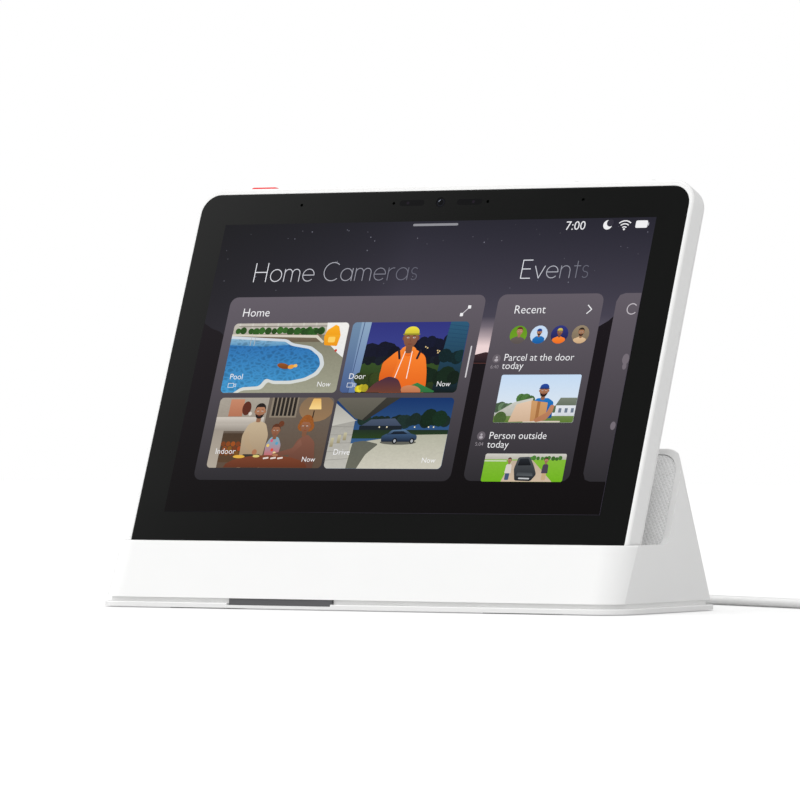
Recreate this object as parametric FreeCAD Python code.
"""Smart home hub: an 8 inch touch tablet standing in a charging and speaker dock.

Millimetres. Row frame: +X to the viewer's right, +Y to the back, +Z up. The origin is the centre of the
dock's footprint, on the surface that it stands on. The tablet is drawn in its own frame (x right, y from the
front glass to the back, z up the screen) and then leaned back into the dock.
"""

import FreeCAD, Part
import math
import os

V = FreeCAD.Vector
os.makedirs("parts", exist_ok=True)

# --- display -----------------------------------------------------------------------------------
LEAN = 21.66            # degrees that the screen leans back from upright
SEAT_Y = -25.1748       # lower edge of the tablet, on the plane of the glass
SEAT_Z = 15.8839
LIT_WIDTH = 172.2       # 8 inch panel, 16:10
LIT_HEIGHT = 107.6

# --- tablet ------------------------------------------------------------------------------------
SIDE_BORDER = 12.9      # from the lit area to the tablet's side
TOP_BORDER = 13.9       # and to its top
FOOT_BORDER = 18.2      # and to its lower edge
TABLET_DEPTH = 10.0
TABLET_R = 8.6          # corners, seen from the front
BEZEL = 1.6             # white rim at the glass's sides
RIM_OVER = 2.4          # white rim over the glass
RIM_UNDER = 1.7
FRONT_EDGE_R = 0.9      # rounding of the rim
BACK_EDGE_R = 2.2       # rounding of the back cover
FRAME_SET_BACK = 0.15   # rim stands this far behind the glass face
FRAME_WALL = 1.6
SPLIT_Y = 7.5           # where the mid frame ends and the back cover starts
SPLIT_GAP = 0.1
COVER_WALL = 1.5
GLASS_THICK = 0.9
GLASS_GAP = 0.12        # between the glass and its recess
LEDGE = 3.2             # width of the ledge that the glass is stuck to
LEDGE_THICK = 1.0
GLUE_THICK = 0.15

# --- display stack behind the glass ---------------------------------------------------------------
LCD_SIDE = 3.2          # glass of the panel past the lit area, each side
LCD_FOOT = 6.0          # and under it, for the driver chip
LCD_THICK = 1.2
BACKLIGHT_THICK = 1.5
TRAY_THICK = 0.4
LAYER_GAP = 0.05
LED_PITCH = 9.0

# --- parts behind the screen ------------------------------------------------------------------------
BATTERY = (104.0, 60.0, 3.2)      # width, height, thickness
BOARD = (118.0, 34.0, 0.9)
BOARD_DOWN = 22.3       # from the camera to the centre of the main board
BATTERY_UP = 58.0       # from the tablet's lower edge to the centre of the battery
SPEAKER_UP = 68.0
SPEAKER_IN = 16.5       # from the tablet's side to the centre of a speaker
SPEAKER_BOX = (16.0, 60.0, 3.6)
SPEAKER_CONE_D = 10.6
VENT_D = 1.4
VENT_PITCH = (3.0, 3.4)
ANTENNA_GAPS = (4.0, 10.0)      # from the main board, and from the tablet's side
ANTENNA = (9.0, 0.5)            # height, thickness
CAMERA_DOWN = 4.5       # from the glass's upper edge to the camera and microphones
CAMERA_HOLE = 3.8
CAMERA_LENS = 3.5
MIC_HOLE = 1.1
MIC_X = (-56.3, -18.8, 18.8, 56.3)
SENSOR_WINDOW_X = 11.5  # each side of the camera
SENSOR_WINDOW = (10.0, 2.2, 0.5)
CAMERA_BODY = (8.0, 6.2, 3.6)
CHIP_THICK = 1.0

# --- buttons on the top edge --------------------------------------------------------------------------
BUTTON_Y = 4.35         # centre of the buttons, from the glass face
BUTTON_WIDE = 2.8       # across the edge
BUTTON_PROUD = 1.6
BUTTON_GAP = 0.15
BUTTON_FLANGE = 0.6
BUTTON_FLANGE_THICK = 0.6
BUTTON_TRAVEL = 0.5
SOS_IN = (18.0, 29.0)           # ends of the keys, in from the tablet's left side
VOLUME_IN = (75.0, 48.0)        # and in from its right side
POWER_IN = (30.0, 18.0)
ROCK_ROOM = 0.45        # room under and over the rocker's flange
SWITCH_SIZE = (3.0, 2.4, 1.5)
SWITCH_BOARD_THICK = 0.6
EDGE_SLOT_X = (-45.0, -23.0, 3.0)
EDGE_SLOT = (3.4, 1.0)

# --- dock ------------------------------------------------------------------------------------------
DOCK_SIDE = 3.8         # housing past the tablet, each side, at its lower edge
DOCK_DEPTH = 71.6
DOCK_R = 10.0           # upright corners
SIDE_DRAFT = 1.5        # degrees
FRONT_LEAN = 23.1
REAR_LEAN = 21.9
FOOT_Z = 0.4            # underside of the base plate
PLATE_RIM = 1.7         # thickness of the base plate's rim
PLATE_PROUD = 0.9       # rim past the housing, all round
PLATE_EDGE_R = 0.4
GROOVE = 1.6            # height of the shadow groove over the rim
GROOVE_DEPTH = 1.5
LIP_Z = 22.9            # top of the front lip and of the side walls
DECK_Z = 21.0           # floor between the tablet and the wedge
WEDGE_Y = 20.9          # front of the wedge, back from the plane of the glass
WEDGE_RISE = 50.3       # top of the wedge, up from the tablet's lower edge
WEDGE_CORNER_R = 7.5
SIDE_FILLET_R = 4.5     # from the side wall up into the wedge
LIP_EDGE_R = 0.7
WALL = 2.2
SLOT_GAP = 0.6          # round the tablet in its slot
LINER_THICK = 0.8
PANEL_THICK = 1.2
PANEL_SET_BACK = 0.4
PANEL_BAND = 2.2        # smooth band over the panel
PANEL_GAP = 0.15
REST_HALF_WIDTH = 42.0
REST_RISE = 43.0        # top of the rest, up from the tablet's lower edge
REST_PAD_THICK = 0.8

# --- what the dock holds ---------------------------------------------------------------------------
LIGHT_X = (-49.1, -7.9)
LIGHT_DEEP = 3.0
LIGHT_DROP = 0.7        # light bar's foot under the top of the rim
PORT_Z = 8.5            # centre of the power socket
PORT_HOLE = (12.9, 7.6)
SOCKET_MOUTH = (8.55, 2.7)
SOCKET_WALL = 0.35
SOCKET_LENGTH = 7.4
SOCKET_Y = 31.3         # mouth of the socket
PLUG_TIP = (8.25, 2.4)
PLUG_TIP_LENGTH = 6.3
PLUG_BODY = (11.4, 6.2)
PLUG_BODY_Y = (31.8, 51.0)
RELIEF_END_Y = 60.0
RELIEF_D = (5.6, 4.0)
PIN_PITCH = 2.6
PIN_COUNT = 5
PIN_D = 1.3
PIN_TRAVEL = 0.8
PIN_GAP = 0.1
PAD_POCKET = 0.3        # the tablet's contacts lie this deep
POGO_BLOCK = (18.0, 4.4, 4.2)
BASE_SCREW_IN = 16.8    # from the housing's side
BASE_SCREW_Y = 24.0
BACK_SCREW_X = 30.0
BOSS_D = 7.0
SCREW_D = 3.0
SCREW_HEAD_D = 5.4
FOOT_SIZE = (30.0, 8.0)
FOOT_IN = 40.8          # from the housing's side to the centre of a foot
FOOT_Y = 27.5
FOOT_SEAT = 0.4         # depth of a foot in the base plate
DRIVER_D = 18.0         # speakers behind the textured panel
DRIVER_IN = 40.8
DRIVER_RISE = 2.0
BALLAST = (120.0, 14.0, 3.0)
BALLAST_Y = 8.5
SOCKET_BOARD = (38.0, 17.0, 1.2)
SOCKET_BOARD_Y = 22.4
SOCKET_BOARD_Z = 5.6
SOCKET_SCREW = (15.5, 17.0)

# --- power cord --------------------------------------------------------------------------------------
CORD_D = 3.4
CORD_Z = CORD_D / 2 + 0.05
CORD_ROUTE = [
    (0.0, RELIEF_END_Y, PORT_Z), (0.5, 71.5, 7.2), (4.3, 82.8, 4.0), (12.0, 91.8, CORD_Z),
    (23.0, 97.2, CORD_Z), (37.0, 98.0, CORD_Z), (53.0, 94.6, CORD_Z), (72.0, 86.4, CORD_Z),
    (93.0, 75.6, CORD_Z), (114.0, 64.4, CORD_Z), (133.0, 54.8, CORD_Z), (146.0, 47.5, CORD_Z),
]
COIL_AT = (155.2, 63.6)
COIL_MEAN_D = 37.0
COIL_WIDE = 3           # turns side by side
COIL_HIGH = 4           # layers
FAR_BODY = (15.6, 7.0, 20.0)
FAR_SHELL = (12.0, 4.5, 12.0)
FAR_RELIEF = 7.0
FAR_TAIL = 34.0         # from beside the coil's centre to the far plug
TAIL_CLEAR = 12.4       # of that, the stretch that is still a turn of the coil

# --- worked out ------------------------------------------------------------------------------------
TABLET_WIDTH = LIT_WIDTH + 2 * SIDE_BORDER
TABLET_TOP = LIT_HEIGHT / 2 + TOP_BORDER          # heights from the centre of the lit area
TABLET_BOTTOM = -LIT_HEIGHT / 2 - FOOT_BORDER
GLASS_TOP = TABLET_TOP - RIM_OVER
GLASS_BOTTOM = TABLET_BOTTOM + RIM_UNDER
SENSOR_ROW_Z = GLASS_TOP - CAMERA_DOWN
BOARD_AT = SENSOR_ROW_Z - BOARD_DOWN
BATTERY_AT = TABLET_BOTTOM + BATTERY_UP
SPEAKER_AT = TABLET_BOTTOM + SPEAKER_UP
SPEAKER_X = TABLET_WIDTH / 2 - SPEAKER_IN
SOS_X = tuple(x - TABLET_WIDTH / 2 for x in SOS_IN)
VOLUME_X = tuple(TABLET_WIDTH / 2 - x for x in VOLUME_IN)
POWER_X = tuple(TABLET_WIDTH / 2 - x for x in POWER_IN)
DOCK_WIDTH = TABLET_WIDTH + 2 * DOCK_SIDE
WEDGE_TOP = TABLET_BOTTOM + WEDGE_RISE
REST_TOP = TABLET_BOTTOM + REST_RISE
TABLET_HEIGHT = TABLET_TOP - TABLET_BOTTOM
TABLET_MID = (TABLET_TOP + TABLET_BOTTOM) / 2
GLASS_WIDTH = TABLET_WIDTH - 2 * BEZEL
GLASS_HEIGHT = GLASS_TOP - GLASS_BOTTOM
GLASS_MID = (GLASS_TOP + GLASS_BOTTOM) / 2
GLASS_R = TABLET_R - BEZEL
LEDGE_Y = GLASS_THICK + GLUE_THICK
STACK_Y = LEDGE_Y + LAYER_GAP
BOARD_Y = STACK_Y + LCD_THICK + BACKLIGHT_THICK + TRAY_THICK + 4 * LAYER_GAP
PLATE_TOP = FOOT_Z + PLATE_RIM
BODY_Z = PLATE_TOP + GROOVE
SLOT_HALF = TABLET_WIDTH / 2 + SLOT_GAP
SLOT_FLOOR = TABLET_BOTTOM - LINER_THICK
REACH = 400.0           # longer than anything in the object

DOCK_PLACE = FreeCAD.Placement()
SCREEN_Y = SEAT_Y - TABLET_BOTTOM * math.sin(math.radians(LEAN))
SCREEN_Z = SEAT_Z - TABLET_BOTTOM * math.cos(math.radians(LEAN))
TABLET_PLACE = FreeCAD.Placement(V(0, SCREEN_Y, SCREEN_Z), FreeCAD.Rotation(V(1, 0, 0), -LEAN))


def box(x0, x1, y0, y1, z0, z1):
    return Part.makeBox(x1 - x0, y1 - y0, z1 - z0, V(x0, y0, z0))


def rod(diameter, start, direction, length):
    return Part.makeCylinder(diameter / 2, length, V(*start), V(*direction))


def rounded_wire(half_u, half_v, radius, point):
    """Rectangle with round corners; point(u, v) gives the place in space."""
    r = max(min(radius, half_u - 0.01, half_v - 0.01), 0.05)
    corners = []
    k = r * (1 - math.sqrt(0.5))
    for su, sv, turn in ((1, 1, 0), (-1, 1, 1), (-1, -1, 0), (1, -1, 1)):
        a = (su * half_u, sv * (half_v - r))
        b = (su * (half_u - r), sv * half_v)
        mid = (su * (half_u - k), sv * (half_v - k))
        first, last = (b, a) if turn else (a, b)
        corners.append((first, mid, last))
    shapes = []
    for i, (first, mid, last) in enumerate(corners):
        shapes.append(Part.Arc(point(*first), point(*mid), point(*last)).toShape())
        following = corners[(i + 1) % 4][0]
        if math.hypot(last[0] - following[0], last[1] - following[1]) > 1e-6:
            shapes.append(Part.LineSegment(point(*last), point(*following)).toShape())
    return Part.Wire(shapes)


def slab(width, height, radius, y0, y1, x=0.0, z=0.0):
    """Plate with round corners in the XZ plane, from y0 to y1."""
    wire = rounded_wire(width / 2, height / 2, radius, lambda u, v: V(x + u, y0, z + v))
    return Part.Face(wire).extrude(V(0, y1 - y0, 0))


def plate(width, depth, radius, z0, z1, x=0.0, y=0.0):
    """Plate with round corners in the XY plane, from z0 to z1."""
    wire = rounded_wire(width / 2, depth / 2, radius, lambda u, v: V(x + u, y + v, z0))
    return Part.Face(wire).extrude(V(0, 0, z1 - z0))


def profile(points, x0, x1, radius_at=None, radius=0.0):
    """Prism along X from a polygon of (y, z); one corner may be rounded."""
    n = len(points)
    edges = []
    ends = []
    for i, (y, z) in enumerate(points):
        here = V(x0, y, z)
        if i == radius_at and radius > 0:
            before, after = V(x0, *points[i - 1]), V(x0, *points[(i + 1) % n])
            a, b = (before - here).normalize(), (after - here).normalize()
            half = a.getAngle(b) / 2
            reach = radius / math.tan(half)
            middle = here + (a + b).normalize() * (radius / math.sin(half) - radius)
            edges.append(Part.Arc(here + a * reach, middle, here + b * reach).toShape())
            ends.append((here + a * reach, here + b * reach))
        else:
            ends.append((here, here))
    for i in range(n):
        edges.append(Part.LineSegment(ends[i][1], ends[(i + 1) % n][0]).toShape())
    wire = Part.Wire(Part.__sortEdges__(edges))
    return Part.Face(wire).extrude(V(x1 - x0, 0, 0))


def soften(shape, radius, wanted):
    """Fillet the edges that wanted(edge) picks."""
    edges = [e for e in shape.Edges if wanted(e)]
    return shape.makeFillet(radius, edges) if edges else shape


def bounds_of(edge):
    b = edge.BoundBox
    return b.XMin, b.XMax, b.YMin, b.YMax, b.ZMin, b.ZMax


def placed(shape, place):
    moved = shape.copy()
    moved.Placement = place.multiply(shape.Placement)
    return moved


def save(name, shapes, place=DOCK_PLACE):
    shapes = shapes if isinstance(shapes, list) else [shapes]
    shapes = [placed(s, place) for s in shapes]
    solids = [solid for s in shapes for solid in s.Solids]
    whole = solids[0] if len(solids) == 1 else Part.makeCompound(solids)
    for solid in solids:
        if not solid.isValid() or solid.Volume <= 0:
            print("CHECK", name, "has a bad solid", solid.Volume)
    whole.exportStep("parts/%s.step" % name)


# --- tablet -----------------------------------------------------------------------------------------
def front_ring_edges(y):
    def wanted(edge):
        _, _, y0, y1, _, _ = bounds_of(edge)
        return abs(y0 - y) < 1e-4 and abs(y1 - y) < 1e-4
    return wanted


def cover_glass():
    glass = slab(GLASS_WIDTH, GLASS_HEIGHT, GLASS_R, 0, GLASS_THICK, 0, GLASS_MID)
    glass = soften(glass, 0.22, front_ring_edges(0))
    for x in MIC_X:
        glass = glass.cut(rod(MIC_HOLE, (x, -1, SENSOR_ROW_Z), (0, 1, 0), 4))
    return glass.cut(rod(CAMERA_HOLE, (0, -1, SENSOR_ROW_Z), (0, 1, 0), 4))


def glass_glue():
    outer = slab(GLASS_WIDTH - 0.8, GLASS_HEIGHT - 0.8, GLASS_R, GLASS_THICK, LEDGE_Y, 0, GLASS_MID)
    inner = slab(GLASS_WIDTH - 2 * LEDGE + 1.2, GLASS_HEIGHT - 2 * LEDGE + 1.2, 3, 0, 9, 0, GLASS_MID)
    return outer.cut(inner)


def button_cuts():
    """Openings for the three buttons and the small slots of the top edge."""
    cuts = []
    foot, top = TABLET_TOP - FRAME_WALL - 2, TABLET_TOP + 5
    for x0, x1 in (SOS_X, VOLUME_X, POWER_X):
        width, deep = x1 - x0 + 2 * BUTTON_GAP, BUTTON_WIDE + 2 * BUTTON_GAP
        cuts.append(plate(width, deep, deep / 2, foot, top, (x0 + x1) / 2, BUTTON_Y))
    for x in EDGE_SLOT_X:
        cuts.append(plate(*EDGE_SLOT, EDGE_SLOT[1] / 2, foot, top, x, BUTTON_Y))
    return cuts


def mid_frame():
    frame = slab(TABLET_WIDTH, TABLET_HEIGHT, TABLET_R, FRAME_SET_BACK, SPLIT_Y, 0, TABLET_MID)
    frame = soften(frame, FRONT_EDGE_R, front_ring_edges(FRAME_SET_BACK))
    recess = slab(GLASS_WIDTH + 2 * GLASS_GAP, GLASS_HEIGHT + 2 * GLASS_GAP, GLASS_R + GLASS_GAP,
                  -1, LEDGE_Y, 0, GLASS_MID)
    window = slab(GLASS_WIDTH - 2 * LEDGE, GLASS_HEIGHT - 2 * LEDGE, GLASS_R - 3, -1, 3, 0, GLASS_MID)
    hollow = slab(TABLET_WIDTH - 2 * FRAME_WALL, TABLET_HEIGHT - 2 * FRAME_WALL, TABLET_R - FRAME_WALL,
                  LEDGE_Y + LEDGE_THICK, SPLIT_Y + 1, 0, TABLET_MID)
    frame = frame.cut(recess).cut(window).cut(hollow)
    for cut in button_cuts():
        frame = frame.cut(cut)
    for x in MIC_X:
        frame = frame.cut(rod(MIC_HOLE + 0.4, (x, 0, SENSOR_ROW_Z), (0, 1, 0), 4))
    half = CAMERA_BODY[0] / 2 + 1.2
    foot = SENSOR_ROW_Z - CAMERA_BODY[1] / 2 - 4.0
    frame = frame.cut(box(-half, half, 0, LEDGE_Y + LEDGE_THICK + 1, foot, GLASS_TOP - 1.0))
    for side in (-1, 1):
        a, b = sorted((side * (SENSOR_WINDOW_X - 5.4), side * (SENSOR_WINDOW_X + 5.4)))
        frame = frame.cut(box(a, b, 0, 3, SENSOR_ROW_Z - 1.6, SENSOR_ROW_Z + 1.6))
    pocket = PIN_COUNT * PIN_PITCH + 1.2
    contacts = box(-pocket / 2, pocket / 2, BUTTON_Y - 1.4, BUTTON_Y + 1.4, TABLET_BOTTOM - 1,
                   TABLET_BOTTOM + FRAME_WALL + 1)
    return frame.cut(contacts)


def back_cover():
    y0 = SPLIT_Y + SPLIT_GAP
    cover = slab(TABLET_WIDTH, TABLET_HEIGHT, TABLET_R, y0, TABLET_DEPTH, 0, TABLET_MID)
    cover = soften(cover, min(BACK_EDGE_R, TABLET_DEPTH - y0 - 0.2), front_ring_edges(TABLET_DEPTH))
    hollow = slab(TABLET_WIDTH - 4 * FRAME_WALL, TABLET_HEIGHT - 4 * FRAME_WALL, TABLET_R - FRAME_WALL,
                  y0 - 1, TABLET_DEPTH - COVER_WALL, 0, TABLET_MID)
    cover = cover.cut(hollow)
    across, up = VENT_PITCH
    for side in (-1, 1):
        for row in range(2):
            for i in range(-4, 5):
                at = (side * (SPEAKER_X + (0.5 - row) * across), 5, SPEAKER_AT + i * up)
                cover = cover.cut(rod(VENT_D, at, (0, 1, 0), 10))
    return cover


def lcd_panel():
    width = LIT_WIDTH + 2 * LCD_SIDE
    height = LIT_HEIGHT + LCD_SIDE + LCD_FOOT
    z = (LCD_SIDE - LCD_FOOT) / 2
    return slab(width, height, 0.8, STACK_Y, STACK_Y + LCD_THICK, 0, z)


def backlight_unit():
    y0 = STACK_Y + LCD_THICK + LAYER_GAP
    width, height = LIT_WIDTH + 2 * LCD_SIDE, LIT_HEIGHT + LCD_SIDE + LCD_FOOT
    body = slab(width, height, 0.8, y0, y0 + BACKLIGHT_THICK, 0, (LCD_SIDE - LCD_FOOT) / 2)
    z = led_row_z()
    return body.cut(box(-LIT_WIDTH / 2, LIT_WIDTH / 2, y0 + 0.4, y0 + 1.2, z - 0.5, z + 0.5))


def led_row_z():
    return -LIT_HEIGHT / 2 - LCD_FOOT / 2 + 0.1


def led_strip():
    """The row of light emitters in the foot of the backlight."""
    y0 = STACK_Y + LCD_THICK + LAYER_GAP
    z = led_row_z()
    count = int((LIT_WIDTH - 6.0) / LED_PITCH) + 1
    places = [(i - (count - 1) / 2) * LED_PITCH for i in range(count)]
    return [box(x - 1.6, x + 1.6, y0 + 0.5, y0 + 1.1, z - 0.4, z + 0.4) for x in places]


def display_tray():
    y0 = BOARD_Y - LAYER_GAP - TRAY_THICK
    width, height = LIT_WIDTH + 2 * LCD_SIDE + 1.0, LIT_HEIGHT + LCD_SIDE + LCD_FOOT + 1.0
    tray = slab(width, height, 1.2, y0, y0 + TRAY_THICK, 0, (LCD_SIDE - LCD_FOOT) / 2)
    for x in (-60.0, -20.0, 20.0, 60.0):
        tray = tray.cut(slab(22.0, 3.0, 1.4, y0 - 1, y0 + 2, x, LIT_HEIGHT / 2 - 3.8))
    return tray


def battery_pack():
    width, height, thick = BATTERY
    y0 = BOARD_Y + 0.4
    cells = [slab(width / 2 - 0.5, height, 1.2, y0, y0 + thick, side * width / 4, BATTERY_AT)
             for side in (-1, 1)]
    top = BATTERY_AT + height / 2
    return cells + [box(-width / 2, width / 2, y0 + 0.3, y0 + thick - 0.3, top + 0.1, top + 3.4)]


def main_board():
    width, height, thick = BOARD
    board = slab(width, height, 1.5, BOARD_Y + 0.2, BOARD_Y + 0.2 + thick, 0, BOARD_AT)
    for x, z in board_screw_places():
        board = board.cut(rod(2.2, (x, BOARD_Y - 1, z), (0, 1, 0), 6))
    return board


def board_screw_places():
    width, height, _ = BOARD
    return [(sx * (width / 2 - 3.5), BOARD_AT + sz * (height / 2 - 3.5)) for sx in (-1, 1) for sz in (-1, 1)]


def board_screws():
    y = BOARD_Y + 0.2 + BOARD[2]
    screws = []
    for x, z in board_screw_places():
        head = rod(3.6, (x, y + 0.05, z), (0, 1, 0), 0.9)
        screws.append(head.fuse(rod(1.9, (x, BOARD_Y + 0.1, z), (0, 1, 0), 1.2)))
    return screws


CHIP_PLACES = ((-30.0, 5.5, 14.0, 14.0), (-10.0, 5.5, 11.0, 12.0),
               (14.0, 8.5, 9.0, 9.0), (34.0, -0.5, 7.0, 7.0))
CAN_PLACES = ((-20.0, 5.5, 38.0, 20.0), (14.0, 7.5, 15.0, 15.0), (34.0, -0.5, 13.0, 13.0))


def chips():
    """x, height over the board's centre, width and height of each."""
    y = BOARD_Y + 0.2 + BOARD[2] + 0.02
    return [slab(w, h, 0.4, y, y + CHIP_THICK, x, BOARD_AT + z) for x, z, w, h in CHIP_PLACES]


def shield_cans():
    y = BOARD_Y + 0.2 + BOARD[2]
    cans = []
    for x, z, w, h in CAN_PLACES:
        can = slab(w, h, 1.0, y + 0.01, y + CHIP_THICK + 0.9, x, BOARD_AT + z)
        cans.append(can.cut(slab(w - 0.6, h - 0.6, 0.7, y - 1, y + CHIP_THICK + 0.6, x, BOARD_AT + z)))
    return cans


def tablet_speakers():
    width, height, thick = SPEAKER_BOX
    y0 = BOARD_Y + 0.3
    return [slab(width, height, 2.0, y0, y0 + thick, side * SPEAKER_X, SPEAKER_AT)
            .cut(rod(SPEAKER_CONE_D + 0.4, (side * SPEAKER_X, y0 + 1.2, SPEAKER_AT), (0, 1, 0), 6))
            for side in (-1, 1)]


def tablet_speaker_cones():
    y0 = BOARD_Y + 0.3 + 1.3
    cones = []
    for side in (-1, 1):
        x = side * SPEAKER_X
        rim = rod(SPEAKER_CONE_D, (x, y0, SPEAKER_AT), (0, 1, 0), 1.6)
        dish = Part.makeCone(2.0, SPEAKER_CONE_D / 2 - 0.7, 1.2, V(x, y0 + 0.5, SPEAKER_AT), V(0, 1, 0))
        cones.append(rim.cut(dish))
    return cones


def wifi_antennas():
    """Film loops in the upper corners of the back cover."""
    y = BOARD_Y + 0.4
    height, thick = ANTENNA
    near, far = BOARD[0] / 2 + ANTENNA_GAPS[0], TABLET_WIDTH / 2 - ANTENNA_GAPS[1]
    z = TABLET_TOP - FRAME_WALL - 10.1 - height / 2
    loops = []
    for side in (-1, 1):
        x0, x1 = sorted((side * near, side * far))
        loop = box(x0, x1, y, y + thick, z, z + height)
        loops.append(loop.cut(box(x0 + 3, x1 - 4, y - 1, y + 2, z + 3, z + height - 3)))
    return loops


def camera_module():
    y0 = LEDGE_Y + 0.4
    width, height, deep = CAMERA_BODY
    body = slab(width, height, 0.6, y0, y0 + deep, 0, SENSOR_ROW_Z)
    barrel = rod(CAMERA_LENS + 1.1, (0, y0 - 0.3, SENSOR_ROW_Z), (0, 1, 0), 1.0)
    return body.fuse(barrel)


def camera_lens():
    lens = rod(CAMERA_LENS, (0, 0.2, SENSOR_ROW_Z), (0, 1, 0), 0.8)
    return soften(lens, 0.15, front_ring_edges(0.2))


def sensor_windows():
    width, height, thick = SENSOR_WINDOW
    y0 = GLASS_THICK + 0.05
    return [slab(width, height, 1.0, y0, y0 + thick, side * SENSOR_WINDOW_X, SENSOR_ROW_Z)
            for side in (-1, 1)]


def microphones():
    y0 = LEDGE_Y + LEDGE_THICK + 0.05
    return [box(x - 1.75, x + 1.75, y0, y0 + 1.0, SENSOR_ROW_Z - 1.3, SENSOR_ROW_Z + 1.3) for x in MIC_X]


def flange_top():
    return TABLET_TOP - FRAME_WALL - 0.1


def pill_button(x0, x1, room):
    """A button cap with a flange inside the case, drawn down from its proud top."""
    x, width = (x0 + x1) / 2, x1 - x0
    top = TABLET_TOP + BUTTON_PROUD
    seat = flange_top() - room
    cap = plate(width, BUTTON_WIDE, BUTTON_WIDE / 2, seat, top, x, BUTTON_Y)
    cap = soften(cap, 0.35, lambda e: bounds_of(e)[4] > top - 1e-4)
    wide = BUTTON_WIDE + 2 * BUTTON_FLANGE
    flange = plate(width + 2 * BUTTON_FLANGE, wide, wide / 2, seat - BUTTON_FLANGE_THICK, seat, x, BUTTON_Y)
    return cap.fuse(flange).removeSplitter()


def sos_button():
    return pill_button(*SOS_X, 0.1)


def power_button():
    return pill_button(*POWER_X, 0.1)


def volume_rocker():
    rocker = pill_button(*VOLUME_X, ROCK_ROOM)
    x = sum(VOLUME_X) / 2
    under = flange_top() - ROCK_ROOM - BUTTON_FLANGE_THICK
    ridge = box(x - 0.8, x + 0.8, BUTTON_Y - 1.2, BUTTON_Y + 1.2, under - 0.5, under + 0.1)
    return rocker.fuse(ridge).removeSplitter()


def switch_places():
    """Centre x and clear height under each press point."""
    press = flange_top() - 0.1 - BUTTON_FLANGE_THICK - BUTTON_TRAVEL - 0.1
    rock = flange_top() - ROCK_ROOM - BUTTON_FLANGE_THICK - 0.5
    quarter = (VOLUME_X[1] - VOLUME_X[0]) / 4 + 2.5
    middle = sum(VOLUME_X) / 2
    return [(sum(SOS_X) / 2, press), (sum(POWER_X) / 2, press),
            (middle - quarter, rock), (middle + quarter, rock)]


def button_switches():
    width, deep, high = SWITCH_SIZE
    switches = []
    for x, top in switch_places():
        base = box(x - width / 2, x + width / 2, BUTTON_Y - deep / 2, BUTTON_Y + deep / 2,
                   switch_floor(), top - 0.4)
        dome = Part.makeCone(0.9, 0.6, 0.4, V(x, BUTTON_Y, top - 0.4))
        switches.append(base.fuse(dome))
    return switches


def switch_floor():
    return flange_top() - ROCK_ROOM - BUTTON_FLANGE_THICK - 0.5 - SWITCH_SIZE[2]


def button_boards():
    z1 = switch_floor() - 0.01
    z0 = z1 - SWITCH_BOARD_THICK
    left = box(SOS_X[0] - 2, SOS_X[1] + 6, BUTTON_Y - 1.6, BUTTON_Y + 2.2, z0, z1)
    right = box(VOLUME_X[0] - 2, POWER_X[1] + 2, BUTTON_Y - 1.6, BUTTON_Y + 2.2, z0, z1)
    return [left, right]


def charge_contacts():
    z = TABLET_BOTTOM + PAD_POCKET
    return [box(x - 0.9, x + 0.9, BUTTON_Y - 1.1, BUTTON_Y + 1.1, z, z + 0.6) for x in pin_places()]


def contact_block():
    """Insulator that fills the pocket behind the charging contacts."""
    wide = PIN_COUNT * PIN_PITCH + 0.9
    z = TABLET_BOTTOM + PAD_POCKET
    block = box(-wide / 2, wide / 2, BUTTON_Y - 1.3, BUTTON_Y + 1.3, z + 0.02, z + 3.4)
    for pad in charge_contacts():
        b = pad.BoundBox
        block = block.cut(box(b.XMin - 0.03, b.XMax + 0.03, b.YMin - 0.03, b.YMax + 0.03, z - 1, z + 0.63))
    return block


def display_flex():
    """Ribbon from the main board down behind the tray."""
    board_foot = BOARD_AT - BOARD[1] / 2
    return box(-52.0, -40.0, BOARD_Y + 0.03, BOARD_Y + 0.13, board_foot - 0.5, board_foot + 28.5)


# --- dock -------------------------------------------------------------------------------------------
def dock_edges(z, inset):
    """Half width, front and rear of the housing at a height."""
    up = z - BODY_Z
    draft, front_lean, rear_lean = (math.radians(a) for a in (SIDE_DRAFT, FRONT_LEAN, REAR_LEAN))
    half = DOCK_WIDTH / 2 - up * math.tan(draft) - inset
    front = -DOCK_DEPTH / 2 + up * math.tan(front_lean) + inset / math.cos(front_lean)
    rear = DOCK_DEPTH / 2 - up * math.tan(rear_lean) - inset / math.cos(rear_lean)
    return half, front, rear


def dock_wire(z, inset):
    half, front, rear = dock_edges(z, inset)
    middle, deep = (front + rear) / 2, (rear - front) / 2
    return rounded_wire(half, deep, DOCK_R - inset, lambda u, v: V(u, middle + v, z))


def dock_block(inset, z0, z1):
    """The leaning block with round upright corners that the housing is cut from."""
    return Part.makeLoft([dock_wire(z0, inset), dock_wire(z1, inset)], True, True)


def lean(y, z):
    """Row place of a point of the tablet's frame, in the plane x = 0."""
    at = TABLET_PLACE.multVec(V(0, y, z))
    return at.y, at.z


def on_lean(y, height):
    """Row y of the plane at y of the tablet's frame, at a row height."""
    base_y, base_z = lean(y, 0)
    return base_y + (height - base_z) * math.tan(math.radians(LEAN))


def open_front(inset, drop):
    """Everything in front of the wedge and over the lip, moved in by the wall."""
    z0 = LIP_Z - drop
    y = WEDGE_Y + inset
    top = 100.0
    points = [(-90.0, z0), (on_lean(y, z0), z0), (on_lean(y, top), top), (-90.0, top)]
    return profile(points, -REACH / 2, REACH / 2, 1, SIDE_FILLET_R)


def wedge_limit(inset):
    """Prism that gives the wedge its flat top and the corners beside it."""
    half = dock_edges(lean(WEDGE_Y, WEDGE_TOP)[1], inset)[0] + 0.4
    height = 200.0
    prism = slab(2 * half, height, WEDGE_CORNER_R, -150, 150, 0, WEDGE_TOP - inset - height / 2)
    return placed(prism, TABLET_PLACE)


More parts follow.
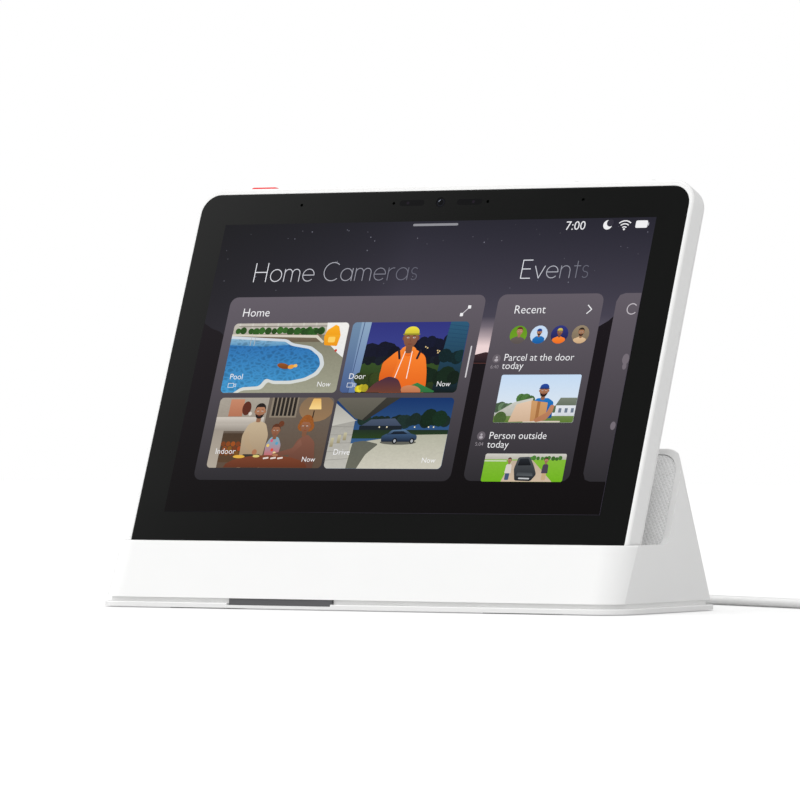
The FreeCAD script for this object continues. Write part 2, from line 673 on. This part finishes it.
def slot_space():
    """The slot that the tablet stands in."""
    y1 = TABLET_DEPTH + SLOT_GAP
    return box(-SLOT_HALF, SLOT_HALF, -SLOT_GAP, y1, SLOT_FLOOR, SLOT_FLOOR + REACH / 4)


def slot_walls():
    """Solid material round the slot; in front and at the sides it reaches the outer walls."""
    y1 = TABLET_DEPTH + SLOT_GAP + WALL
    return box(-REACH / 2, REACH / 2, -REACH / 4, y1, SLOT_FLOOR - WALL, SLOT_FLOOR + REACH / 4)


def panel_recess():
    """Recess of the textured panel in the wedge's front."""
    y1 = WEDGE_Y + PANEL_SET_BACK + PANEL_THICK
    z0, z1 = lean_height(DECK_Z), WEDGE_TOP - PANEL_BAND
    return slab(2 * SLOT_HALF, 2 * (z1 - z0), WEDGE_CORNER_R - 1.0, WEDGE_Y - 30, y1, 0, z0)


def lean_height(height):
    """How far up the tablet's frame the wedge's face is at a row height."""
    _, base_z = lean(WEDGE_Y, 0)
    return (height - base_z) / math.cos(math.radians(LEAN))


def trough():
    """Space over the deck, bounded by the recess of the panel."""
    near, far, top = -SLOT_GAP, WEDGE_Y + 15, 90
    points = [(on_lean(near, DECK_Z), DECK_Z), (on_lean(far, DECK_Z), DECK_Z), (on_lean(far, top), top),
              (on_lean(near, top), top)]
    return profile(points, -REACH / 2, REACH / 2).common(placed(panel_recess(), TABLET_PLACE))


def port_cut():
    wire = rounded_wire(PORT_HOLE[0] / 2, PORT_HOLE[1] / 2, 3.0, lambda u, v: V(u, SOCKET_Y - 6, PORT_Z + v))
    return Part.Face(wire).extrude(V(0, 40, 0))


def base_screw_places():
    x, y = DOCK_WIDTH / 2 - BASE_SCREW_IN, BASE_SCREW_Y
    return [(sx * x, sy * y) for sx in (-1, 1) for sy in (-1, 1)] + [(-BACK_SCREW_X, y), (BACK_SCREW_X, y)]


def screw_bosses(cavity):
    posts = [rod(BOSS_D, (x, y, BODY_Z + 0.6), (0, 0, 1), 60) for x, y in base_screw_places()]
    return [post.common(cavity) for post in posts]


def dock_housing():
    outer = dock_block(0.0, BODY_Z, 60.0).common(wedge_limit(0.0))
    outer = outer.cut(open_front(0.0, 0.0))
    outer = soften(outer, min(LIP_EDGE_R, 0.4 * wedge_top_thickness()), rim_edge)
    cavity = dock_block(WALL, BODY_Z - 1, 60.0).common(wedge_limit(WALL))
    cavity = cavity.cut(open_front(WALL + PANEL_SET_BACK + PANEL_THICK, LIP_Z - DECK_Z + WALL))
    cavity = cavity.cut(placed(slot_walls(), TABLET_PLACE))
    shell = outer.cut(cavity).cut(trough()).cut(placed(slot_space(), TABLET_PLACE))
    bosses = [b for b in screw_bosses(cavity) if b.Volume > 1]
    shell = shell.fuse(bosses)
    for x, y in base_screw_places():
        shell = shell.cut(rod(SCREW_D - 0.5, (x, y, 0), (0, 0, 1), BODY_Z + 6.0))
    return shell.cut(port_cut()).cut(placed(pogo_hole(0.15), TABLET_PLACE))


def wedge_top_thickness():
    y, z = lean(WEDGE_Y, WEDGE_TOP)
    return dock_edges(z, 0)[2] - y


def rim_edge(edge):
    """Top edges of the lip, the side walls and the wedge."""
    x0, x1, y0, y1, z0, z1 = bounds_of(edge)
    apex_front = lean(WEDGE_Y, WEDGE_TOP)
    level = abs(z0 - LIP_Z) < 1e-3 and abs(z1 - LIP_Z) < 1e-3
    along_lip = level and y1 < on_lean(WEDGE_Y, LIP_Z) - SIDE_FILLET_R
    apex = z0 > apex_front[1] - 1.5 and x1 - x0 > 100
    return along_lip or apex


def pogo_hole(gap):
    """Opening in the slot's floor for the block of sprung pins."""
    wide, deep, high = POGO_BLOCK
    top = SLOT_FLOOR + 0.5
    return box(-wide / 2 - gap, wide / 2 + gap, BUTTON_Y - deep / 2 - gap, BUTTON_Y + deep / 2 + gap,
               min(top - high - 0.3, SLOT_FLOOR - WALL - 1), top)


def dock_base_plate():
    width, depth = DOCK_WIDTH + 2 * PLATE_PROUD, DOCK_DEPTH + 2 * PLATE_PROUD
    rim = plate(width, depth, DOCK_R + PLATE_PROUD, FOOT_Z, PLATE_TOP)
    rim = soften(rim, PLATE_EDGE_R, lambda e: bounds_of(e)[4] > PLATE_TOP - 1e-4)
    neck = plate(DOCK_WIDTH - 2 * GROOVE_DEPTH, DOCK_DEPTH - 2 * GROOVE_DEPTH, DOCK_R - GROOVE_DEPTH,
                 PLATE_TOP - 0.2, BODY_Z - 0.02)
    base = rim.fuse(neck)
    for x, y in base_screw_places():
        base = base.cut(rod(SCREW_D + 0.4, (x, y, 0), (0, 0, 1), 20))
        base = base.cut(rod(SCREW_HEAD_D + 0.4, (x, y, 0), (0, 0, 1), FOOT_Z + 1.0))
    long, wide = FOOT_SIZE
    for x, y in foot_places():
        base = base.cut(plate(long + 0.3, wide + 0.3, wide / 2, 0, FOOT_Z + FOOT_SEAT + 0.1, x, y))
    return base.cut(light_space(0.1))


def foot_places():
    x = DOCK_WIDTH / 2 - FOOT_IN
    return [(sx * x, sy * FOOT_Y) for sx in (-1, 1) for sy in (-1, 1)]


def rubber_feet():
    long, wide = FOOT_SIZE
    return [plate(long, wide, wide / 2, 0, FOOT_Z + FOOT_SEAT, x, y) for x, y in foot_places()]


def base_screws():
    screws = []
    for x, y in base_screw_places():
        head = rod(SCREW_HEAD_D, (x, y, FOOT_Z + 0.1), (0, 0, 1), 0.85)
        head = head.cut(box(x - 1.4, x + 1.4, y - 0.3, y + 0.3, 0, FOOT_Z + 0.5))
        screws.append(head.fuse(rod(SCREW_D - 0.6, (x, y, FOOT_Z + 0.9), (0, 0, 1), 6.5)))
    return screws


def light_front():
    return -DOCK_DEPTH / 2 + GROOVE_DEPTH - 1.0


def light_space(gap):
    """Where the status light bar sits in the groove's front, with a notch in the rim before it."""
    return box(LIGHT_X[0] - gap, LIGHT_X[1] + gap, -DOCK_DEPTH, light_front() + LIGHT_DEEP + 1.0 + gap,
               PLATE_TOP - LIGHT_DROP, BODY_Z + 1)


def status_light_bar():
    y = light_front()
    bar = box(LIGHT_X[0], LIGHT_X[1], y, y + LIGHT_DEEP + 0.95, PLATE_TOP - LIGHT_DROP + 0.03, BODY_Z - 0.05)
    return soften(bar, 0.3, lambda e: bounds_of(e)[0] == bounds_of(e)[1] and bounds_of(e)[3] < y + 0.1)


def grille_panel():
    """Textured panel that lines the wedge's front down to the deck."""
    y0, y1 = WEDGE_Y + PANEL_SET_BACK, WEDGE_Y + PANEL_SET_BACK + PANEL_THICK - 0.02
    z0, z1 = lean_height(DECK_Z), WEDGE_TOP - PANEL_BAND - PANEL_GAP
    panel = slab(2 * SLOT_HALF - 2 * PANEL_GAP, 2 * (z1 - z0), WEDGE_CORNER_R - 1.0, y0, y1, 0, z0)
    panel = placed(panel, TABLET_PLACE)
    return panel.common(box(-150, 150, -90, 90, DECK_Z + 0.02, 90))


def tablet_rest():
    """Raised block on the wedge's face that the tablet leans on."""
    y0 = TABLET_DEPTH + REST_PAD_THICK
    y1 = WEDGE_Y + PANEL_SET_BACK - 0.02
    z0 = lean_height(DECK_Z) - 8.0
    block = slab(2 * REST_HALF_WIDTH, REST_TOP - z0, 3.0, y0, y1, 0, (REST_TOP + z0) / 2)
    block = placed(block, TABLET_PLACE)
    return block.common(box(-150, 150, on_lean(TABLET_DEPTH + SLOT_GAP, DECK_Z) + 0.3, 90, DECK_Z + 0.02, 90))


def rest_pad():
    low = lean_height(DECK_Z) + 1.0
    high = REST_TOP - 2.0
    pad = slab(2 * REST_HALF_WIDTH - 5.0, high - low, 2.0, TABLET_DEPTH, TABLET_DEPTH + REST_PAD_THICK,
               0, (low + high) / 2)
    return placed(pad, TABLET_PLACE)


def slot_liner():
    """Soft strips on the slot's floor, one each side of the sprung pins."""
    strips = []
    for side in (-1, 1):
        a, b = sorted((side * (POGO_BLOCK[0] / 2 + 4.0), side * (SLOT_HALF - 1.0)))
        strips.append(box(a, b, 0.6, TABLET_DEPTH - 2.6, SLOT_FLOOR, TABLET_BOTTOM))
    return strips


def pin_places():
    return [(i - (PIN_COUNT - 1) / 2) * PIN_PITCH for i in range(PIN_COUNT)]


def pogo_block():
    """Plastic block that carries the sprung charging pins in the slot's floor."""
    wide, deep, high = POGO_BLOCK
    top = SLOT_FLOOR + 0.45
    block = box(-wide / 2, wide / 2, BUTTON_Y - deep / 2, BUTTON_Y + deep / 2, top - high, top)
    for x in pin_places():
        block = block.cut(rod(PIN_D + 0.2, (x, BUTTON_Y, top - high + 0.8), (0, 0, 1), high))
        block = block.cut(rod(PIN_D + 0.9, (x, BUTTON_Y, top - high + 0.8), (0, 0, 1), high - 1.6))
    return block


def pogo_pins():
    top = SLOT_FLOOR + 0.45
    tip = TABLET_BOTTOM + PAD_POCKET - PIN_GAP
    low = top - POGO_BLOCK[2] + 0.8 + PIN_TRAVEL + 0.2
    pins = []
    for x in pin_places():
        pin = rod(PIN_D, (x, BUTTON_Y, low), (0, 0, 1), tip - low)
        pin = soften(pin, 0.35, lambda e: bounds_of(e)[4] > tip - 1e-4)
        pins.append(pin.fuse(rod(PIN_D + 0.6, (x, BUTTON_Y, low), (0, 0, 1), 0.5)))
    return pins


def pogo_springs():
    """Springs under the charging pins, drawn as the sleeves that they fill."""
    floor = SLOT_FLOOR + 0.45 - POGO_BLOCK[2] + 0.8
    springs = []
    for x in pin_places():
        sleeve = rod(PIN_D, (x, BUTTON_Y, floor), (0, 0, 1), 0.18)
        springs.append(sleeve.cut(rod(PIN_D - 0.5, (x, BUTTON_Y, floor - 1), (0, 0, 1), 3)))
    return springs


def ballast_plate():
    """Steel weight in two halves, clear of the slot's middle."""
    width, depth, thick = BALLAST
    halves = plate(width, depth, 2.0, BODY_Z + 0.3, BODY_Z + 0.3 + thick, 0, BALLAST_Y)
    return halves.cut(box(-21.0, 21.0, -90, 90, 0, 40))


def dock_board():
    width, depth, thick = SOCKET_BOARD
    board = plate(width, depth, 1.0, SOCKET_BOARD_Z, SOCKET_BOARD_Z + thick, 0, SOCKET_BOARD_Y)
    for x, y in dock_board_screw_places():
        board = board.cut(rod(2.4, (x, y, 0), (0, 0, 1), 20))
    return board


def dock_board_screw_places():
    x, y = SOCKET_SCREW
    return [(-x, y), (x, y)]


def dock_board_screws():
    screws = []
    for x, y in dock_board_screw_places():
        head = rod(4.0, (x, y, SOCKET_BOARD_Z + SOCKET_BOARD[2] + 0.05), (0, 0, 1), 1.2)
        screws.append(head.fuse(rod(2.0, (x, y, BODY_Z + 0.1), (0, 0, 1), 3.8)))
    return screws


def pill_bar(width, height, y0, y1):
    wire = rounded_wire(width / 2, height / 2, height / 2 - 0.02, lambda u, v: V(u, y0, PORT_Z + v))
    return Part.Face(wire).extrude(V(0, y1 - y0, 0))


def power_socket():
    """Receptacle for the power plug, on the dock's board."""
    wide, high = SOCKET_MOUTH[0] + 2 * SOCKET_WALL, SOCKET_MOUTH[1] + 2 * SOCKET_WALL
    body = pill_bar(wide, high, SOCKET_Y - SOCKET_LENGTH, SOCKET_Y)
    return body.cut(pill_bar(SOCKET_MOUTH[0], SOCKET_MOUTH[1], SOCKET_Y - SOCKET_LENGTH + 0.6, SOCKET_Y + 1))


def driver_places():
    return [(side * (DOCK_WIDTH / 2 - DRIVER_IN), lean_height(DECK_Z) + DRIVER_RISE) for side in (-1, 1)]


def dock_speakers():
    """Two small drivers behind the textured panel: basket with magnet."""
    y0 = WEDGE_Y + PANEL_SET_BACK + PANEL_THICK + WALL + 0.6
    drivers = []
    for x, z in driver_places():
        basket = rod(DRIVER_D, (x, y0, z), (0, 1, 0), 2.0)
        basket = basket.cut(rod(DRIVER_D - 3.0, (x, y0 - 1, z), (0, 1, 0), 2.4))
        drivers.append(placed(basket.fuse(rod(DRIVER_D / 2, (x, y0 + 2.0, z), (0, 1, 0), 2.6)), TABLET_PLACE))
    return drivers


def dock_speaker_cones():
    y0 = WEDGE_Y + PANEL_SET_BACK + PANEL_THICK + WALL + 0.7
    cones = []
    for x, z in driver_places():
        disc = rod(DRIVER_D - 3.4, (x, y0, z), (0, 1, 0), 0.9)
        dish = Part.makeCone(6.4, 2.5, 0.5, V(x, y0 - 0.01, z), V(0, 1, 0))
        cones.append(placed(disc.cut(dish), TABLET_PLACE))
    return cones


def light_board():
    y = -DOCK_DEPTH / 2 + GROOVE_DEPTH + LIGHT_DEEP
    return box(LIGHT_X[0] - 4, LIGHT_X[1] + 4, y + 0.4, y + 6.0, BODY_Z + 0.2, BODY_Z + 1.0)


# --- power cord --------------------------------------------------------------------------------------
def plug_tip():
    y1 = PLUG_BODY_Y[0]
    tip = pill_bar(PLUG_TIP[0], PLUG_TIP[1], SOCKET_Y - PLUG_TIP_LENGTH, y1)
    return tip.cut(pill_bar(PLUG_TIP[0] - 0.7, PLUG_TIP[1] - 0.7, SOCKET_Y - PLUG_TIP_LENGTH - 1, y1 - 1.5))


def plug_body():
    y0, y1 = PLUG_BODY_Y
    wire = rounded_wire(PLUG_BODY[0] / 2, PLUG_BODY[1] / 2, 2.6, lambda u, v: V(u, y0, PORT_Z + v))
    body = Part.Face(wire).extrude(V(0, y1 - y0, 0))
    body = soften(body, 0.8, lambda e: bounds_of(e)[2] > y1 - 1e-4)
    relief = Part.makeCone(RELIEF_D[0] / 2, RELIEF_D[1] / 2, RELIEF_END_Y - y1, V(0, y1, PORT_Z), V(0, 1, 0))
    return body.fuse(relief)


def cord_path(points):
    """Straight runs joined by arcs as large as the shorter run beside each corner allows."""
    points = [V(*p) for p in points]
    edges, start, radii = [], points[0], []
    for before, here, after in zip(points, points[1:], points[2:]):
        a, b = (before - here), (after - here)
        reach = 0.45 * min(a.Length, b.Length)
        a.normalize()
        b.normalize()
        half = a.getAngle(b) / 2
        radius = reach * math.tan(half)
        radii.append(radius)
        middle = here + (a + b).normalize() * (radius / math.sin(half) - radius)
        edges.append(Part.LineSegment(start, here + a * reach).toShape())
        edges.append(Part.Arc(here + a * reach, middle, here + b * reach).toShape())
        start = here + b * reach
    edges.append(Part.LineSegment(start, points[-1]).toShape())
    return Part.Wire(edges), radii


def cord_tube(route):
    path, radii = cord_path(route)
    start, following = V(*route[0]), V(*route[1])
    section = Part.Wire(Part.makeCircle(CORD_D / 2, start, following - start))
    tube = path.makePipeShell([section], True, False)
    full = math.pi * CORD_D ** 2 / 4 * path.Length
    print("cord radii", " ".join("%.1f" % r for r in radii))
    print("cord volume over section times length %.4f, length %.1f" % (tube.Volume / full, path.Length))
    return tube


def power_cord():
    return [cord_tube(CORD_ROUTE), cord_tube(tail_route())]


def coil_section():
    """Inner radius, outer radius and height of the wound coil."""
    wide = COIL_WIDE * CORD_D
    return COIL_MEAN_D / 2 - wide / 2, COIL_MEAN_D / 2 + wide / 2, COIL_HIGH * CORD_D


def cord_coil():
    inner, outer, high = coil_section()
    ring = rod(2 * outer, (*COIL_AT, CORD_Z - CORD_D / 2), (0, 0, 1), high)
    return ring.cut(rod(2 * inner, (*COIL_AT, -1), (0, 0, 1), high + 3))


def cord_tie():
    """Strap round the turns of the coil."""
    inner, outer, high = coil_section()
    x, y = COIL_AT
    z0 = CORD_Z - CORD_D / 2
    strap = box(x - outer - 0.9, x - inner + 0.9, y - 4, y + 4, z0, z0 + high + 1.0)
    return strap.cut(rod(2 * outer + 0.04, (x, y, z0 - 1), (0, 0, 1), high + 1.02)
                     .cut(rod(2 * inner - 0.04, (x, y, z0 - 2), (0, 0, 1), high + 4)))


def far_plug_place():
    """Where the far plug starts: past the tail that leaves the coil towards +Y."""
    _, outer, _ = coil_section()
    return COIL_AT[0] + outer - CORD_D / 2, COIL_AT[1] + FAR_TAIL


def tail_route():
    """The cord rises from the floor to the middle of the far plug."""
    x, y = far_plug_place()
    high = FAR_BODY[1] / 2 + 0.02
    return [(x, COIL_AT[1] + TAIL_CLEAR, CORD_Z), (x, y - 14.0, CORD_Z), (x, y - 6.0, high), (x, y, high)]


def far_plug_body():
    x, y = far_plug_place()
    wide, high, long = FAR_BODY
    relief = Part.makeCone(2.1, 2.8, FAR_RELIEF, V(x, y, high / 2 + 0.02), V(0, 1, 0))
    body = box(x - wide / 2, x + wide / 2, y + FAR_RELIEF, y + FAR_RELIEF + long, 0.02, high + 0.02)
    body = soften(body, 1.2, lambda e: abs(bounds_of(e)[2] - bounds_of(e)[3]) > 5)
    return body.fuse(relief)


def far_plug_shell():
    x, y = far_plug_place()
    wide, high, long = FAR_SHELL
    y0 = y + FAR_RELIEF + FAR_BODY[2]
    z = FAR_BODY[1] / 2 + 0.02
    shell = box(x - wide / 2, x + wide / 2, y0, y0 + long, z - high / 2, z + high / 2)
    return shell.cut(box(x - wide / 2 + 0.4, x + wide / 2 - 0.4, y0 + 1, y0 + long + 1, z - high / 2 + 0.4,
                         z + high / 2 - 0.4))


TABLET_NODES = [
    cover_glass, glass_glue, mid_frame, back_cover, lcd_panel, backlight_unit, led_strip, display_tray,
    battery_pack, main_board, board_screws, chips, shield_cans, tablet_speakers, tablet_speaker_cones,
    wifi_antennas, camera_module, camera_lens, sensor_windows, microphones, sos_button, power_button,
    volume_rocker, button_switches, button_boards, charge_contacts, contact_block, display_flex,
    slot_liner, pogo_block, pogo_pins, pogo_springs,
]
DOCK_NODES = [
    dock_housing, dock_base_plate, rubber_feet, base_screws, status_light_bar, light_board, grille_panel,
    tablet_rest, rest_pad, ballast_plate, dock_board, dock_board_screws, power_socket, dock_speakers,
    dock_speaker_cones, plug_tip, plug_body, power_cord, cord_coil, cord_tie, far_plug_body, far_plug_shell,
]

for make in TABLET_NODES:
    save(make.__name__, make(), TABLET_PLACE)
for make in DOCK_NODES:
    save(make.__name__, make())
